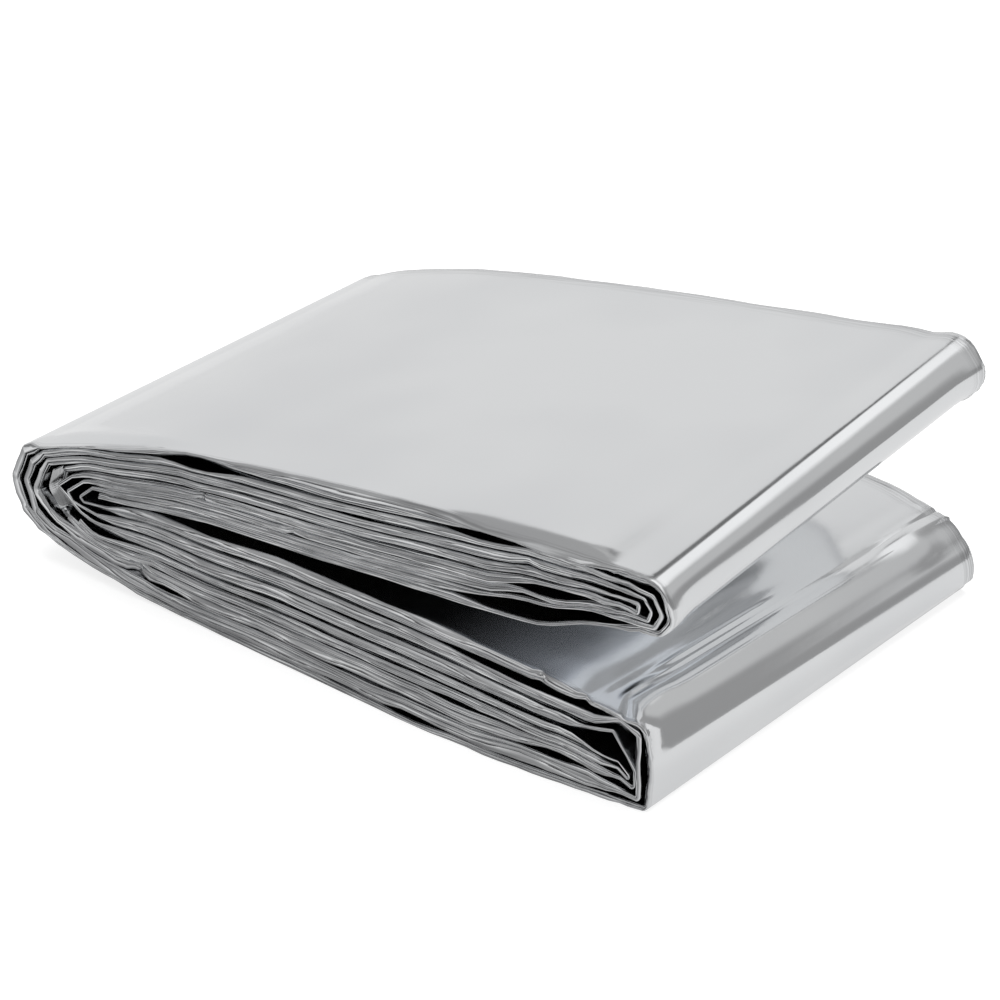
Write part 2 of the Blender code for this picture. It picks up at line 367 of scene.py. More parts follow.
@dataclass(frozen=True)
class FlatWinding:
    """The section through the folded blanket: the strip's middle line."""

    run_step: float = 2.8       # spacing of stations along a layer
    end_crowding: float = 0.6   # how much closer they stand at a layer's ends
    fine_step: float = 0.3      # their spacing at a finer spot
    fewest_steps: int = 6       # along a layer
    closest: float = 0.2        # of the fine step, below which stations merge
    link_step: float = 1.8      # longest step in a turn
    longest_cut: float = 0.48   # of a side, for a rounded corner
    arc_steps: int = 5          # segments in each rounded corner
    ramp: float = 6.0           # where layers close up past another's end
    held_open: float = 0.35     # bulk kept for a layer that has not begun
    pressed: float = 0.45       # what a hollow takes from each layer beside it
    thinnest: float = 0.5       # the least that it leaves of such a layer
    fill: float = 0.95          # of its band, for each layer
    nose_reach: float = 1.2     # how far the far corners reach past the near ones
    upper_end_reach: float = -2.4
    lower_end_reach: float = 1.2
    nose_stretch: float = 60.0
    end_start: float = 80.0
    end_stretch: float = 45.0
    foot_height: float = 6.0    # over which the lower end's reach grows
    cleft_height: float = 1.5   # from the lower half's top to the upper half's reach
    bulge: float = 2.6          # the underside's near edge, at its middle
    bulge_height: float = 20.0
    bulge_start: float = 28.0
    bulge_rise: float = 66.0
    bulge_end: float = 133.0
    bulge_fall: float = 32.0
    envelope: tuple[Outline, ...] = tuple(Outline(*row) for row in (
        (0.0, 7.5, 14.0, 15.0, 19.0), (6.0, 5.3, 14.2, 15.2, 21.4),
        (12.0, 3.3, 14.7, 15.3, 23.6), (22.0, 1.6, 15.6, 16.1, 26.5),
        (33.0, 0.3, 17.2, 17.8, 29.2), (44.0, 0.0, 17.2, 19.2, 30.8),
        (60.0, 0.0, 18.2, 20.2, 33.2), (74.0, 0.0, 18.0, 21.2, 34.9),
        (88.0, 0.0, 17.8, 22.3, 36.4), (100.0, 0.0, 17.3, 23.2, 37.3),
        (110.0, 0.0, 16.7, 24.1, 38.1), (120.0, 0.0, 15.9, 27.6, 38.5),
        (128.0, 0.0, 14.6, 29.2, 38.0), (134.0, 0.0, 14.0, 29.8, 36.6),
    ))
    far_rise: tuple[Outline, ...] = tuple(Outline(*row) for row in (
        (0.0, 0.8, 0.8, 0.8, 0.6), (12.0, 0.5, 0.9, 0.9, 1.3),
        (33.0, 0.0, 0.4, 0.6, 1.7), (60.0, 0.0, -0.7, 1.2, 2.6),
        (88.0, 0.0, -1.2, 3.0, 3.3), (110.0, 0.0, -1.6, 5.5, 4.0),
        (122.0, 0.0, -2.1, 5.7, 5.1), (134.0, 0.0, -3.6, 5.8, 6.4),
    ))
    upper: tuple[Layer, ...] = tuple(Layer(*row) for row in (
        (1, 6.5, 124.0, 1.2), (2, 7.5, 126.5, 1.6), (3, 8.5, 126.0, 1.6),
        (4, 12.0, 125.0, 1.5), (5, 14.0, 125.0, 1.5), (6, 16.5, 126.0, 1.4),
        (7, 18.5, 126.5, 1.4), (8, 20.0, 128.5, 1.3),
    ))
    lower: tuple[Layer, ...] = tuple(Layer(*row) for row in (
        (16, 7.0, 128.6, 1.2), (15, 8.0, 126.5, 2.7), (14, 10.0, 126.0, 2.8),
        (13, 12.5, 125.5, 1.6), (12, 15.0, 125.5, 1.5), (11, 17.5, 121.0, 2.4),
        (10, 18.0, 125.5, 2.4), (9, 20.0, 120.4, 2.4),
    ))
    rooms: tuple[Room, ...] = tuple(Room(*row) for row in (
        ((1,), 27.0, 14.0, 0.7), ((1,), 74.0, 40.0, 1.5), ((1,), 118.0, 22.0, 0.7),
        ((1, 2), 43.0, 11.0, 2.0), ((1, 2), 101.0, 10.0, 1.1),
        ((1, 2), 128.0, 12.0, 0.7), ((2, 3), 79.0, 14.0, 0.3),
        ((3, 4), 121.0, 8.0, 0.5), ((5, 6), 113.0, 10.0, 1.9),
        ((6, 7), 108.0, 8.0, 0.5), ((7, 8), 109.0, 16.0, 2.8),
        ((7, 8), 121.0, 9.0, 1.4), ((16, 15), 120.0, 14.0, 0.3),
        ((16, 15), 88.0, 9.0, 1.1), ((16, 15), 33.0, 9.0, 0.5),
        ((15,), 114.0, 18.0, 0.6), ((15, 14), 34.0, 6.0, 1.1),
        ((15, 14), 115.0, 9.0, 1.1), ((14,), 116.0, 16.0, -1.2),
        ((14, 13), 97.0, 8.0, 0.5), ((12, 11), 19.0, 9.0, 1.6),
        ((12, 11), 106.0, 14.0, 0.4), ((12, 11), 130.0, 15.0, 8.5),
        ((11, 10), 112.0, 8.0, 0.3), ((10, 9), 110.0, 24.0, 1.2),
    ))
    finer: tuple[Spot, ...] = tuple(Spot(*row) for row in (
        (9, 111.0, 0.9), (9, 119.0, 0.9), (5, 43.0, 0.9), (6, 62.0, 0.9),
        (14, 27.0, 1.2), (3, 108.0, 0.9),
    ))
    order: tuple[int, ...] = (8, 1, 16, 9, 7, 2, 15, 10, 6, 3, 14, 11, 5, 4, 13, 12)
    turns: tuple[Turn, ...] = (
        Turn(8, 1, 0.5,
             path((131.7, 29.9, 1.0), (133.9, 32.8, 3.4), (132.4, 37.9, 3.6)),
             path((131.5, 29.6, 2.0), (134.1, 33.2, 3.4), (130.4, 38.3, 5.8)),
             2.4),
        Turn(1, 16, 0.95,
             path((2.9, 19.3, 1.0), (0.2, 13.8, 2.5), (2.2, 8.4, 3.0))),
        Turn(16, 9, 0.4,
             path((130.3, 0.4, 0.7), (130.6, 6.6, 14.0), (129.7, 13.9, 2.4)),
             path((130.3, 0.4, 0.7), (131.0, 6.8, 12.0), (126.4, 14.1, 6.0)),
             2.4, True),
        Turn(9, 7, 0.3, path((16.2, 14.0, 0.3), (15.4, 14.8, 0.3))),
        Turn(7, 2, 0.4,
             path((131.1, 30.9, 0.5), (132.4, 33.2, 1.0), (131.0, 35.7, 1.0))),
        Turn(2, 15, 0.8,
             path((4.8, 17.8, 1.0), (2.7, 13.9, 1.8), (4.8, 8.9, 2.2))),
        Turn(15, 10, 0.45, path((129.1, 1.8, 0.5), (129.0, 12.5, 0.6)),
             path((129.1, 1.8, 0.5), (126.4, 11.0, 0.6)), 1.0, True),
        Turn(10, 6, 0.3, path((13.7, 13.4, 0.3), (12.5, 14.8, 0.3))),
        Turn(6, 3, 0.35,
             path((130.0, 31.7, 0.4), (130.6, 33.3, 0.8), (129.5, 34.9, 0.8))),
        Turn(3, 14, 0.75,
             path((6.9, 16.7, 0.8), (5.0, 12.8, 1.2), (8.0, 10.0, 1.4))),
        Turn(14, 11, 0.3,
             path((128.2, 3.0, 0.5), (128.2, 6.2, 0.8), (124.3, 11.5, 0.5))),
        Turn(11, 5, 0.3, path((15.4, 11.9, 0.3), (10.4, 15.3, 0.3))),
        Turn(5, 4, 0.35, path((128.3, 32.3, 0.4), (128.3, 33.7, 0.4))),
        Turn(4, 13, 0.5,
             path((8.6, 16.6, 0.5), (7.4, 13.4, 1.0), (9.8, 10.4, 1.0))),
        Turn(13, 12, 0.25, path((127.4, 4.6, 0.3), (127.3, 5.4, 0.3))),
    )

    def stack_of(self, number: int) -> tuple[Half, int]:
        """Finds a layer in the stacks.

        Args:
            number: The layer's number in the winding.

        Returns:
            The half that it lies in, and its rank there from the outside.
        """
        for half, stack in ((Half.UPPER, self.upper), (Half.LOWER, self.lower)):
            numbers = [layer.number for layer in stack]
            if number in numbers:
                return half, numbers.index(number)
        raise ValueError(f"no layer {number}")

    def room_at(self, layers: tuple[int, ...], x: float) -> float:
        """The extra height of a layer, or between two of them, at x."""
        return sum(room.extra * float(smooth(1.0 - abs(x - room.x) / room.reach))
                   for room in self.rooms if room.layers == layers)

    def bands(self, half: Half, x: float) -> list[tuple[float, float]]:
        """Shares out a half's height at x among its layers, outermost first.

        A layer takes little height where it has not begun yet, at the nose, and
        none where it has turned back, at the open end.

        Args:
            half: Which half.
            x: Where along the section.

        Returns:
            The middle and the half height of each of the eight bands.
        """
        stack = self.upper if half is Half.UPPER else self.lower
        hollows = [0.0, *(self.room_at((a.number, b.number), x)
                          for a, b in zip(stack, stack[1:])), 0.0]
        sizes = [0.0]
        for layer, before, after in zip(stack, hollows, hollows[1:]):
            begins = lerp(self.held_open, 1.0,
                          smooth((x - layer.left + self.ramp) / self.ramp))
            ends = 1.0 - smooth((x - layer.right) / self.ramp)
            bulk = layer.bulk + self.room_at((layer.number,), x)
            bulk = max(bulk - self.pressed * (before + after),
                       self.thinnest * layer.bulk)
            sizes += [bulk * begins * ends, after]
        sizes.pop()
        outer, inner = ((Line.TOP, Line.UPPER_BOTTOM) if half is Half.UPPER
                        else (Line.BOTTOM, Line.LOWER_TOP))
        levels = lerp(table_value(self.envelope, x, outer),
                      table_value(self.envelope, x, inner),
                      np.cumsum(sizes) / sum(sizes))
        return [(0.5 * (a + b), 0.5 * abs(b - a))
                for a, b in zip(levels[::2], levels[1::2])]

    def layer_run(self, number: int, left_half: float,
                  right_half: float) -> list[tuple[float, ...]]:
        """Sets out stations along a layer, from its nose end to its open end.

        Args:
            number: The layer's number in the winding.
            left_half: The strip's half thickness where the run begins.
            right_half: Its half thickness where the run ends.

        Returns:
            Rows of x, z, half thickness and the far corners' shift in x and z.
        """
        half, rank = self.stack_of(number)
        layer = (self.upper if half is Half.UPPER else self.lower)[rank]
        steps = max(self.fewest_steps,
                    round((layer.right - layer.left) / self.run_step))
        shares = np.linspace(0.0, 1.0, steps + 1)
        eased = 0.5 - 0.5 * np.cos(pi * shares)
        places = [lerp(layer.left, layer.right, lerp(shares, eased, self.end_crowding))]
        places += [np.arange(spot.x - spot.reach, spot.x + spot.reach, self.fine_step)
                   for spot in self.finer if spot.layer == number]
        ordered = np.sort(np.concatenate(places))
        apart = np.diff(ordered, prepend=-np.inf) > self.closest * self.fine_step
        rows = []
        for x in ordered[apart].tolist():
            middle, room = self.bands(half, x)[rank]
            full = self.fill * room
            thick = lerp(left_half, full, smooth((x - layer.left) / self.ramp))
            thick = lerp(right_half, thick, smooth((layer.right - x) / self.ramp))
            rows.append((x, middle, min(thick, full), 0.0, 0.0))
        return rows

    def fillet(self, before: Vector, corner: Vector, after: Vector,
               radius: float) -> list[Vector]:
        """Draws an arc in place of a corner.

        Args:
            before: The point before the corner.
            corner: The corner itself.
            after: The point after it.
            radius: The arc's radius, which shrinks where its sides are short.

        Returns:
            The arc's points, both ends included.
        """
        to_before = (before - corner).normalized()
        to_after = (after - corner).normalized()
        half_angle = 0.5 * to_before.angle(to_after, pi)
        side = min((before - corner).length, (after - corner).length)
        cut = min(radius / max(tan(half_angle), TINY), self.longest_cut * side)
        start, end = corner + to_before * cut, corner + to_after * cut
        weight = sin(half_angle)
        arc = []
        for k in range(self.arc_steps + 1):
            t = k / self.arc_steps
            a, b, c = (1 - t) ** 2, 2 * t * (1 - t) * weight, t**2
            arc.append((start * a + corner * b + end * c) / (a + b + c))
        return arc

    def rounded(self, start: tuple[float, ...], corners: tuple[Corner, ...],
                end: tuple[float, ...]) -> list[Vector]:
        """Draws a line with each of its corners rounded.

        Args:
            start: The station where it starts.
            corners: Its corners.
            end: The station where it ends.

        Returns:
            The line's points.
        """
        line = [Vector(point[:2]) for point in (start, *corners, end)]
        points = [line[0]]
        for k, corner in enumerate(corners):
            points += self.fillet(line[k], line[k + 1], line[k + 2], corner.radius)
        return [*points, line[-1]]

    def turn_points(self, turn: Turn, start: tuple[float, ...],
                    end: tuple[float, ...]) -> list[tuple[float, ...]]:
        """Sets out a turn's stations, in the strip's own order.

        Args:
            turn: The turn.
            start: The last station of the layer before it.
            end: The first station of the layer after it.

        Returns:
            Rows like those of a layer, without the two end stations.
        """
        near = self.rounded(start, turn.corners, end)
        far = self.rounded(start, turn.far_corners or turn.corners, end)
        rows = []
        for a, b, far_a, far_b in zip(near, near[1:], far, far[1:]):
            pieces = max(1, round((b - a).length * turn.finer / self.link_step))
            for k in range(pieces):
                share = (k + 1) / pieces
                point, far_point = a.lerp(b, share), far_a.lerp(far_b, share)
                rows.append((*point, turn.half, *(far_point - point)))
        return rows[:-1]

    def rise_at(self, x: float, z: float) -> float:
        """Reads how much higher a point of the near section lies on the far side.

        Args:
            x: Where along the section.
            z: How high on it.

        Returns:
            Its rise from the near side to the far one.
        """
        heights = [table_value(self.envelope, x, line) for line in Line]
        rises = [table_value(self.far_rise, x, line) for line in Line]
        return float(np.interp(z, heights, rises))

    def reach_at(self, x: float, z: float) -> float:
        """Works out how far a point of the near section moves along X on the far side.

        Args:
            x: Where along the section.
            z: How high on it.

        Returns:
            Its shift, which is negative towards the nose.
        """
        nose = -self.nose_reach * (1.0 - smooth(x / self.nose_stretch))
        cleft = table_value(self.envelope, x, Line.LOWER_TOP) + self.cleft_height
        reach = self.lower_end_reach * smooth(z / self.foot_height)
        if z > cleft:
            reach = self.upper_end_reach
        return nose + reach * smooth((x - self.end_start) / self.end_stretch)

    def bulge_at(self, x: float, z: float) -> float:
        """Works out how far the underside's near edge stands out at a point.

        Args:
            x: Where along the section.
            z: How high on it.

        Returns:
            The distance, towards the near side.
        """
        low = max(0.0, 1.0 - z / self.bulge_height)
        begins = smooth((x - self.bulge_start) / self.bulge_rise)
        ends = smooth((self.bulge_end - x) / self.bulge_fall)
        return self.bulge * low * begins * ends

    def stations(self) -> Stations:
        """Walks the strip from its free end in the cleft to the one in the core.

        Returns:
            All of its stations.
        """
        rows: list[tuple[float, ...]] = []
        places: list[tuple[int, ...]] = []
        turns = {(turn.leaves, turn.enters): turn for turn in self.turns}
        links = list(zip(self.order, self.order[1:]))
        for k, number in enumerate(self.order):
            before = turns[links[k - 1]].half if k else self.turns[0].half
            after = turns[links[k]].half if k < len(links) else self.turns[0].half
            if k % 2:
                run = self.layer_run(number, after, before)[::-1]
            else:
                run = self.layer_run(number, before, after)
            if k:
                between = self.turn_points(turns[links[k - 1]], rows[-1], run[0])
                rows += between
                places += [links[k - 1]] * len(between)
            rows += run
            places += [(number,)] * len(run)
        table = np.array(rows)
        lean = np.array([(self.reach_at(x, z), self.bulge_at(x, z), self.rise_at(x, z))
                         for x, z in table[:, :2]])
        early = np.array([place in turns and turns[place].early for place in places])
        opening = table[:, 3:] * early[:, None]
        lean[:, (0, 2)] += table[:, 3:] - opening
        return Stations(table[:, :2], table[:, 2], lean, opening, places)


class Fold(NamedTuple):
    """A nest of leaves that turn back together at one side of the strip.

    Low and high are the band that the nest fills there, as shares of the
    strip's thickness, and recess is how far it stands back from the side.
    Steps is the number of segments in the nest's outermost turn.
    """

    least: int
    most: int
    low: float
    high: float
    recess: float
    steps: int = 3


@dataclass(frozen=True)
class Pleats:
    """The strip's cross-section: sixteen leaves made by four halvings."""

    width: float = 87.5
    halvings: int = 4
    nest_gap: float = 0.8       # between a nest's turns, of a leaf's own room
    loose: float = 0.80         # how low the inner leaves lie under the outer one
    shoulder: float = 4.5       # where a leaf's edge region ends
    guard: float = 1.35         # the outer leaf's first point past its turn
    skin_points: int = 30
    skin_crowding: float = 0.6  # how much closer these points stand at the edges
    curl: float = 0.85          # depth of a turn, of its half height
    flatness: float = 0.6       # 1 for a round turn, less for a flat front
    near_folds: tuple[Fold, ...] = (
        Fold(8, 15, 0.52, 1.00, 0.0, 6),
        Fold(4, 7, 0.22, 0.48, 0.12, 6),
        Fold(2, 3, 0.09, 0.18, 0.3),
        Fold(1, 1, 0.05, 0.05, 0.8),
        Fold(0, 0, 0.0, 0.0, 0.2),
    )
    far_fold: Fold = Fold(0, 15, 0.0, 1.0, 0.0, 4)

    def levels(self) -> list[int]:
        """Halves the sheet again and again.

        Returns:
            The level at which each of its leaves ends up, where 0 is the lowest.
        """
        rows = [list(range(2**self.halvings))]
        for _ in range(self.halvings):
            half = len(rows[0]) // 2
            folded = [row[half:][::-1] for row in reversed(rows)]
            rows = [row[:half] for row in rows] + folded
        order = [row[0] for row in rows]
        return [order.index(leaf) for leaf in range(len(order))]

    def turn(self, fold: Fold, leaves: int, enters: int) -> list[tuple[float, ...]]:
        """Draws the turn from one leaf back into another.

        Args:
            fold: The nest that the turn belongs to.
            leaves: The level of the leaf before the turn.
            enters: The level of the leaf after it.

        Returns:
            Rows of curl, depth from the side, level share and the fold's least.
        """
        spacing = 1.0 / (2**self.halvings - 1)
        rank = fold.most - max(leaves, enters)
        inset = rank * spacing * self.nest_gap
        low, high = fold.low + inset, fold.high - inset
        steps = max(1, 3 - rank) if rank else fold.steps
        rows = []
        for k in range(steps + 1):
            angle = pi * (k / steps - 0.5)
            level = 0.5 * (low + high) + 0.5 * (high - low) * sin(angle)
            depth = self.curl * 0.5 * (high - low) * (1.0 - cos(angle)**self.flatness)
            depth += inset
            rows.append((depth, fold.recess, level, fold.least))
        return rows if enters > leaves else rows[::-1]

    def profile(self) -> np.ndarray:
        """Draws the cross-section, from the sheet's one long edge to the other.

        Returns:
            Rows of curl, y, level share and near fold, or -1 where there is none.
        """
        levels = self.levels()
        top = len(levels) - 1
        rows: list[tuple[float, ...]] = []
        near = {level: fold for fold in self.near_folds
                for level in range(fold.least, fold.most + 1)}
        spots = [lerp(self.guard, self.width - self.guard,
                      lerp(t, 0.5 - 0.5 * cos(pi * t), self.skin_crowding))
                 for t in np.linspace(0.0, 1.0, self.skin_points)]
        for leaf, level in enumerate(levels):
            share = level / top
            inner = [(0.0, self.shoulder, share * self.loose, -1.0)]
            if level == top:
                inner = [(0.0, y, share, -1.0) for y in spots]
            if leaf % 2:
                inner.reverse()
            free = (0.0, near[level].recess, near[level].low, near[level].least)
            rows += inner if leaf else [free, *inner]
            if leaf == top:
                rows.append(free)
            elif leaf % 2:
                rows += self.turn(near[level], level, levels[leaf + 1])
            else:
                rows += [(-depth, self.width - recess, share, -1.0)
                         for depth, recess, share, _ in self.turn(
                             self.far_fold, level, levels[leaf + 1])]
        return np.array(rows)


class TreeMaker:
    """Adds nodes and links to a node tree with few words."""

    def __init__(self, tree: bpy.types.NodeTree) -> None:
        """Keeps the tree."""
        self.tree = tree

    def feed(self, node: bpy.types.Node, inputs: dict[Any, Any]) -> None:
        """Sets or links a node's inputs.

        Args:
            node: The node.
            inputs: Values or sockets for its inputs, by name or number.
        """
        for key, value in inputs.items():
            if isinstance(value, bpy.types.NodeSocket):
                self.tree.links.new(value, node.inputs[key])
            else:
                node.inputs[key].default_value = value

    def add(self, kind: str, inputs: dict[Any, Any] | None = None,
            **settings: Any) -> bpy.types.Node:
        """Adds a node.

        Args:
            kind: The node's Blender type.
            inputs: Values or sockets for its inputs, by name or number.
            **settings: Properties of the node itself.

        Returns:
            The new node.
        """
        node = self.tree.nodes.new(kind)
        for name, value in settings.items():
            setattr(node, name, value)
        self.feed(node, inputs or {})
        return node

    def math(self, operation: str, *values: Any) -> bpy.types.NodeSocket:
        """A math node's result."""
        node = self.add("ShaderNodeMath", dict(enumerate(values)), operation=operation)
        return node.outputs[0]

    def vector(self, operation: str, first: Any, second: Any) -> bpy.types.NodeSocket:
        """A vector math node's result, where the second may be a scale."""
        slot = "Scale" if operation == "SCALE" else 1
        node = self.add("ShaderNodeVectorMath", {0: first, slot: second},
                        operation=operation)
        return node.outputs["Vector"]

    def parts(self, vector: bpy.types.NodeSocket) -> bpy.types.bpy_prop_collection:
        """A vector's three coordinates, by name."""
        return self.add("ShaderNodeSeparateXYZ", {0: vector}).outputs

    def attribute(self, name: str) -> bpy.types.NodeSocket:
        """A value that the mesh keeps at its points."""
        return self.add("ShaderNodeAttribute", attribute_name=name).outputs["Fac"]

    def noise(self, where: bpy.types.NodeSocket, scale: Any, detail: float,
              roughness: float) -> bpy.types.NodeSocket:
        """A noise texture's value."""
        return self.add("ShaderNodeTexNoise", {
            "Vector": where, "Scale": scale, "Detail": detail,
            "Roughness": roughness}).outputs["Fac"]

    def ramp(self, value: bpy.types.NodeSocket, span: tuple[float, float],
             ends: tuple[float, float] = (0.0, 1.0),
             kind: str = "LINEAR") -> bpy.types.NodeSocket:
        """Turns a value's way across a span into another value's way.

        Args:
            value: The value that crosses the span.
            span: Where the span starts and ends.
            ends: The result at its start and before, and at its end and beyond.
            kind: How the result goes between them.

        Returns:
            The result.
        """
        return self.add("ShaderNodeMapRange", {
            "Value": value, "From Min": span[0], "From Max": span[1],
            "To Min": ends[0], "To Max": ends[1]},
            interpolation_type=kind).outputs["Result"]

    def mix(self, share: bpy.types.NodeSocket, first: Any,
            second: Any) -> bpy.types.NodeSocket:
        """Mixes two values, or two colours where the second has three parts.

        Args:
            share: The second one's share.
            first: A socket, a value or a colour.
            second: A value or a colour.

        Returns:
            The mixed value or colour.
        """
        coloured = isinstance(second, tuple)
        ends = [(*end, 1.0) if isinstance(end, tuple) else end
                for end in (first, second)]
        slots = dict(zip((6, 7) if coloured else (2, 3), ends))
        return self.add("ShaderNodeMix", {"Factor": share, **slots},
                        data_type="RGBA" if coloured else "FLOAT").outputs["Result"]


@dataclass(frozen=True)
class FilmFinish:
    """Vacuum-metallised film: mirror bright, with fine ripples and a soft haze."""

    name: str = "metallised_film"
    colour: tuple[float, float, float] = (0.80, 0.81, 0.82)
    dulled: tuple[float, float, float] = (0.74, 0.75, 0.765)
    # Painted shade: the darker colour of the leaves' folded edges.
    edges: tuple[float, float, float] = (0.47, 0.475, 0.485)
    # Painted light: the glow that the film gives off in the cleft.
    cleft_glow_colour: tuple[float, float, float] = (0.30, 0.31, 0.33)
    cleft_glow_after: float = 2.5      # mirrorings after which the cleft shows its painted glow
    roughness: float = 0.09
    haze: float = 0.07          # how much rougher the film is where it is hazy
    crumpled: float = 0.10      # and where it is crumpled
    ripples: float = 45.0       # to a metre
    relief: float = 0.25        # the strength of the ripples
    relief_height: float = 0.0004
    fine_ripples: float = 9.0   # how many times as many of the fine ones
    fine_height: float = 0.06   # and their height, against the others
    clouds: float = 0.45        # how many times as many hazy patches
    hazy: tuple[float, float] = (0.4, 0.72)     # of the noise, from clear to hazy
    drawn_out: float = 60.0     # how much longer than wide a streak is
    streak: float = 0.6         # height of the streaks along the leaves' edges
    lines: tuple[float, float] = (0.38, 0.60)   # of the noise, from clear to the painted shade of the edges

    def relief_group(self) -> bpy.types.NodeTree:
        """Makes the film's ripples, haze and streaks.

        Returns:
            A shader node group that takes a vector and the ripples' number.
        """
        tree = node_group("film_relief", "ShaderNodeTree",
                          {"Vector": "Vector", "Ripples per metre": "Float"},
                          {"Height": "Float", "Haze": "Float", "Streaks": "Float"})
        make = TreeMaker(tree)
        given = make.add("NodeGroupInput").outputs
        where, scale = given["Vector"], given["Ripples per metre"]
        broad = make.noise(where, scale, detail=2.0, roughness=0.5)
        fine = make.noise(where, make.math("MULTIPLY", scale, self.fine_ripples),
                          detail=1.0, roughness=0.55)
        clouds = make.noise(where, make.math("MULTIPLY", scale, self.clouds),
                            detail=2.0, roughness=0.6)
        along = make.vector("MULTIPLY", where, (self.drawn_out, 1.0, 1.0))
        make.add("NodeGroupOutput", {
            "Height": make.math("ADD", broad,
                                make.math("MULTIPLY", fine, self.fine_height)),
            "Haze": make.ramp(clouds, self.hazy),
            "Streaks": make.noise(along, scale, detail=2.0, roughness=0.7)})
        return tree

    def material(self, flat: tuple[float, float]) -> bpy.types.Material:
        """Makes the film's material, laid out on the flat sheet's own UV map.

        Args:
            flat: The flat sheet's width and length.

        Returns:
            The film's material.
        """
        material = bpy.data.materials.new(self.name)
        material.use_nodes = True
        make = TreeMaker(material.node_tree)
        chart = make.add("ShaderNodeUVMap", uv_map="sheet").outputs["UV"]
        where = make.add("ShaderNodeMapping", {"Vector": chart, "Scale": (*flat, 1.0)})
        relief = make.add("ShaderNodeGroup", {
            "Vector": where.outputs["Vector"], "Ripples per metre": self.ripples},
            node_tree=self.relief_group()).outputs
        haze, streaks = relief["Haze"], relief["Streaks"]
        edge = make.attribute("edge")
        clean = make.mix(haze, self.colour, self.dulled)
        # Painted shade along the leaves' folded edges, in streaks.
        edge_shade = make.math("MULTIPLY", edge, make.ramp(streaks, self.lines))
        worn = make.math("MULTIPLY_ADD", haze, self.haze, self.roughness)
        crumple = make.attribute("crumple")
        rough = make.math("MULTIPLY_ADD", crumple, self.crumpled, worn)
        raised = make.math("MULTIPLY", edge, self.streak)
        raised = make.math("MULTIPLY", raised, streaks)
        bump = make.add("ShaderNodeBump", {
            "Strength": self.relief, "Distance": self.relief_height,
            "Height": make.math("ADD", relief["Height"], raised)})
        # The emission is painted light: the film in the cleft glows once a ray has been
        # mirrored more than a few times.
        mirrored = make.add("ShaderNodeLightPath").outputs["Glossy Depth"]
        glow_share = make.math("GREATER_THAN", mirrored, self.cleft_glow_after)
        glow_share = make.math("MULTIPLY", glow_share, make.attribute("cleft_glow"))
        make.feed(material.node_tree.nodes["Principled BSDF"], {
            "Base Color": make.mix(edge_shade, clean, self.edges), "Metallic": 1.0,
            "Roughness": rough, "Normal": bump.outputs["Normal"],
            "Emission Color": make.mix(glow_share, (0.0, 0.0, 0.0), self.cleft_glow_colour),
            "Emission Strength": 1.0})
        return material


